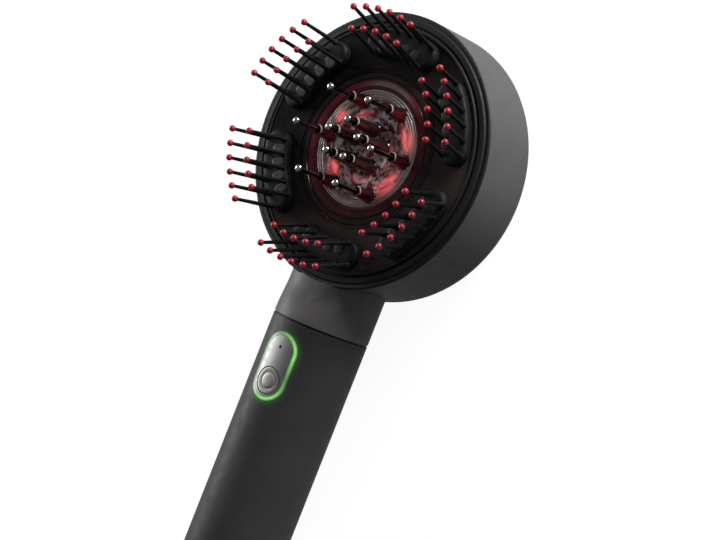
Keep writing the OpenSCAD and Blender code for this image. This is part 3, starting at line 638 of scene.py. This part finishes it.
def bristle_roots():
    """Places on the first pad's top where its bristles start."""
    lean = BRISTLE_L * math.sin(math.radians(BRISTLE_TILT))
    for count, radius, pitch in (OUTER_ROW, INNER_ROW):
        for j in range(count):
            a = math.radians((j - (count - 1) / 2) * pitch)
            yield Vector((-radius * math.sin(a), radius * math.cos(a) - lean, PLATE_TOP + PAD_H))


def make_pad(k):
    """A soft pad with a rolled edge, low blocks, and bristles growing out of flared roots."""
    bm = bmesh.new()
    loft(bm, [pad_outline(PAD_HALF_W - inset, PLATE_TOP + height) for inset, height in PAD_PROFILE])
    tilt = Matrix.Rotation(math.radians(-BRISTLE_TILT), 3, "X")
    for root in bristle_roots():
        rows = [circle(r, BRISTLE_POINTS, root + tilt @ Vector((0, 0, h)), tilt) for h, r in BRISTLE_PROFILE]
        loft(bm, rows)
    plain = len(bm.faces)
    bristles, _, pitch = INNER_ROW
    for j in range(bristles - 1):
        loft(bm, pad_block((j - (bristles - 2) / 2) * pitch))
    # the blocks take the rubber with painted light
    for face in list(bm.faces)[plain:]:
        face.material_index = 1
    bmesh.ops.rotate(bm, verts=bm.verts, cent=(0, 0, 0),
                     matrix=Matrix.Rotation(math.radians((k - 1) * 360 / PAD_COUNT), 3, "Z"))
    return add_mesh(f"soft_pad_{k}", bm, 50)


def make_disc():
    """The clear disc with a rounded edge and low rings round its lit middle."""
    low = DISC_TOP - DISC_RING_DEPTH
    shoulder = DISC_TOP - 0.08
    profile = [(0.1, DISC_LOW), (DISC_R, DISC_LOW), (DISC_R, DISC_TOP - DISC_EDGE),
               (DISC_R - DISC_EDGE, DISC_TOP)]
    radius = DISC_R - 0.7
    for _ in range(DISC_RINGS):
        profile += [(radius, DISC_TOP), (radius - 0.18, low), (radius - 0.42, low), (radius - 0.60, shoulder)]
        radius -= DISC_RING_PITCH
    profile += [(radius, shoulder), (radius - 0.4, low), (radius - 3.4, low + 0.16), (radius - 3.9, low),
                (radius - 6.2, low + 0.18), (radius - 6.7, low - 0.05), (5.0, low), (0.1, low + 0.1)]
    bm = bmesh.new()
    lathe(bm, profile, DISC_POINTS)
    return add_mesh("lens_disc", bm, 30)


def make_barrels(name, ring):
    """Barrels with an open rounded mouth, in which the ball pins slide."""
    count, ring_r, first, top = ring
    foot = DISC_TOP - 0.3
    profile = ((2.5, foot), (2.25, foot + 0.25), (2.1, foot + 0.7), (1.62, top - 1.0), (1.6, top - 0.3),
               (1.54, top - 0.1), (1.40, top), (1.26, top - 0.05), (1.18, top - 0.3), (1.15, top - 1.4),
               (0.3, top - 1.5))
    bm = bmesh.new()
    for k in range(count):
        a = math.radians(first + 360 * k / count)
        rings = lathe(bm, profile, BARREL_POINTS, (ring_r * math.cos(a), ring_r * math.sin(a)))
        # faces of the lip on its lit half take the painted highlight
        lit = {row[i] for row in rings[LIT_ROWS] for i in LIT_STEPS}
        for face in bm.faces[-BARREL_POINTS * len(rings):]:
            if all(vert in lit for vert in face.verts):
                face.material_index = 1
    return add_mesh(name, bm, 35)


def make_button():
    """Round power button with a rolled edge, a groove and a raised middle."""
    rows = []
    for radius, rise in BUTTON_PROFILE:
        row = []
        for x, y, _ in circle(radius, BUTTON_POINTS):
            row.append((x, y - BUTTON_Y, HANDLE_Z + math.sqrt(HANDLE_R ** 2 - x * x) + rise))
        rows.append(row)
    bm = bmesh.new()
    loft(bm, rows)
    return add_mesh("button_cap", bm, 60)


# ---------------------------------------------------------------- dress the frame
def dress_housing():
    """The head, the neck, the handle and the soft pads."""
    finish(shell_plastic(), "head_shell")
    neck = make_neck()
    finish(neck_plastic(), neck)
    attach(neck, "housing")
    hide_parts("neck_shroud")

    rubber, block = pad_rubber(), painted_lit_block_rubber()
    for k in range(1, PAD_COUNT + 1):
        pad = make_pad(k)
        pad.data.materials.append(rubber.material)
        pad.data.materials.append(block.material)
        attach(pad, "housing")
        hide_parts(f"pad_{k}")
    finish(tip_plastic(), *ids("tips", PAD_COUNT))

    finish(bezel_plastic(), "bezel_ring", "seam_ring", "end_cap")
    finish(smoked_plastic(), "face_plate")
    finish(handle_plastic(), "handle_tube")


def dress_panel():
    """The control panel with its button, light ring and indicator."""
    button = make_button()
    finish(panel_plastic("button_plastic", (0.46, 0.43, 0.43), 0.5), button)
    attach(button, "button")
    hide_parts("power_button")
    finish(panel_plastic("panel_plastic", (0.46, 0.46, 0.46), 0.5), "control_panel")
    finish(green_light(), "light_ring")
    finish(plain_plastic("lens_plastic", (0.03, 0.02, 0.05), 0.2), "indicator_lens")


def dress_cartridge():
    """The lift-out applicator with its tank, barrels and pins."""
    finish(carrier_plastic(), "carrier_ring")
    disc = make_disc()
    finish(disc_plastic(), disc)
    outer = make_barrels("outer_barrels", OUTER_BARRELS)
    finish(barrel_plastic("outer_barrel_plastic", (0.014, 0.004, 0.005), (0.30, 0.014, 0.024)), outer)
    inner = make_barrels("inner_barrels", INNER_BARRELS)
    finish(barrel_plastic("inner_barrel_plastic", (0.016, 0.008, 0.009), (0.20, 0.030, 0.036)), inner)
    lip = lip_highlight_paint()
    for barrels in (outer, inner):
        barrels.data.materials.append(lip.material)
    for piece in (disc, outer, inner):
        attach(piece, "cartridge")
    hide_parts("clear_disc")
    finish(clear_plastic("clear_tank_plastic", (0.90, 0.88, 0.90), 0.08), "liquid_tank", "tank_cradle")
    finish(pin_steel(), *ids("pin", OUTER_BARRELS[0] + INNER_BARRELS[0]))
    finish(plain_plastic("plug_rubber", (0.25, 0.02, 0.025), 0.5), "filler_plug")


def dress_inside():
    """The seals, the motor, the cell, the boards and the small hardware."""
    finish(plain_plastic("seal_rubber", (0.02, 0.02, 0.02), 0.6),
           "tank_seal", "motor_sleeve", "cell_strap", "cap_seal")
    finish(circuit_board(), "light_board", "control_board", "charge_board")
    finish(red_light(), "light_chips")
    finish(plain_metal("plain_steel", (0.55, 0.55, 0.57), 0.3),
           "back_screws", "motor_body", "motor_shaft", "cell_contacts", "charge_socket")
    finish(plain_metal("plain_brass", (0.60, 0.42, 0.16), 0.35), "motor_weight")
    finish(plain_plastic("inner_plastic", (0.02, 0.02, 0.02), 0.5), "cell_tray", "tact_switch")
    finish(plain_plastic("cell_wrap", (0.03, 0.08, 0.26), 0.3), "cell")
    finish(plain_plastic("ribbon_film", (0.40, 0.20, 0.05), 0.35), "ribbon_cable")


# ---------------------------------------------------------------- stage, light and camera
FLOOR_HALF = 3.0
FLOOR_GREY = 0.15
FLOOR_SEEN = 0.94
FLOOR_IN_GLOSS = 0.28
WORLD_FILL = 0.15
CAMERA_LENS = 103.358
CAMERA_AIM = (0.01316, -0.03443, 0.0262)
CAMERA_DISTANCE = 0.60849
CAMERA_AZIMUTH = 3.5345
CAMERA_ELEVATION = 53.0077
CAMERA_ROLL = -71.2757


def make_camera():
    """The photograph's view: a direction from the aim, a distance and a roll."""
    data = bpy.data.cameras.new("camera")
    data.lens = CAMERA_LENS
    data.sensor_width = 36
    data.clip_start = 0.01
    camera = bpy.data.objects.new("camera", data)
    bpy.context.scene.collection.objects.link(camera)
    azimuth, elevation = math.radians(CAMERA_AZIMUTH), math.radians(CAMERA_ELEVATION)
    back = Vector((math.cos(elevation) * math.cos(azimuth), math.cos(elevation) * math.sin(azimuth),
                   math.sin(elevation)))
    camera.location = Vector(CAMERA_AIM) + CAMERA_DISTANCE * back
    level = Euler((math.pi / 2 - elevation, 0, math.pi / 2 + azimuth)).to_matrix()
    rolled = level @ Matrix.Rotation(math.radians(CAMERA_ROLL), 3, "Z")
    camera.rotation_euler = rolled.to_euler()
    bpy.context.scene.camera = camera


def make_floor():
    """A pale floor that looks white to the camera, keeps the shadow, and shows dimly in gloss."""
    bm = bmesh.new()
    bmesh.ops.create_grid(bm, x_segments=1, y_segments=1, size=FLOOR_HALF / MM)
    floor = add_mesh("floor", bm)
    surface = Surface("floor_white", (FLOOR_GREY,) * 3, 0.9)
    surface.vary(400, 0.01)
    path = surface.node("ShaderNodeLightPath")
    seen = surface.math("MULTIPLY", path.outputs["Is Camera Ray"], FLOOR_SEEN)
    in_gloss = surface.math("MULTIPLY", path.outputs["Is Glossy Ray"], FLOOR_IN_GLOSS)
    surface.set("Emission Color", (1, 1, 1, 1))
    surface.link(surface.math("MAXIMUM", seen, in_gloss), surface.shader.inputs["Emission Strength"])
    finish(surface, floor)


def make_area(name, power, size, place, aim=(0, 0, 0.02)):
    """A soft rectangular lamp that points at the head."""
    data = bpy.data.lights.new(name, "AREA")
    data.energy = power
    data.shape = "RECTANGLE"
    data.size, data.size_y = size
    lamp = bpy.data.objects.new(name, data)
    bpy.context.scene.collection.objects.link(lamp)
    lamp.location = place
    lamp.rotation_euler = (Vector(aim) - Vector(place)).to_track_quat("-Z", "Y").to_euler()


def make_world():
    """White to the camera, and a weak fill to everything else."""
    world = bpy.data.worlds.new("studio")
    bpy.context.scene.world = world
    world.use_nodes = True
    tree = world.node_tree
    background = tree.nodes["Background"]
    path = tree.nodes.new("ShaderNodeLightPath")
    strength = tree.nodes.new("ShaderNodeMapRange")
    strength.inputs["To Min"].default_value = WORLD_FILL
    strength.inputs["To Max"].default_value = 1.0
    tree.links.new(path.outputs["Is Camera Ray"], strength.inputs["Value"])
    tree.links.new(strength.outputs["Result"], background.inputs["Strength"])
    background.inputs["Color"].default_value = (1, 1, 1, 1)


def make_studio():
    """The floor, the light and the camera."""
    make_floor()
    make_world()
    make_area("key", 4.6, (0.5, 0.25), (-0.80, 0.0, 0.28))
    make_area("side", 7.0, (0.3, 0.2), (0.28, 0.58, 0.14))
    make_camera()
    bpy.context.scene.view_settings.view_transform = "Standard"


dress_housing()
dress_panel()
dress_cartridge()
dress_inside()
make_studio()
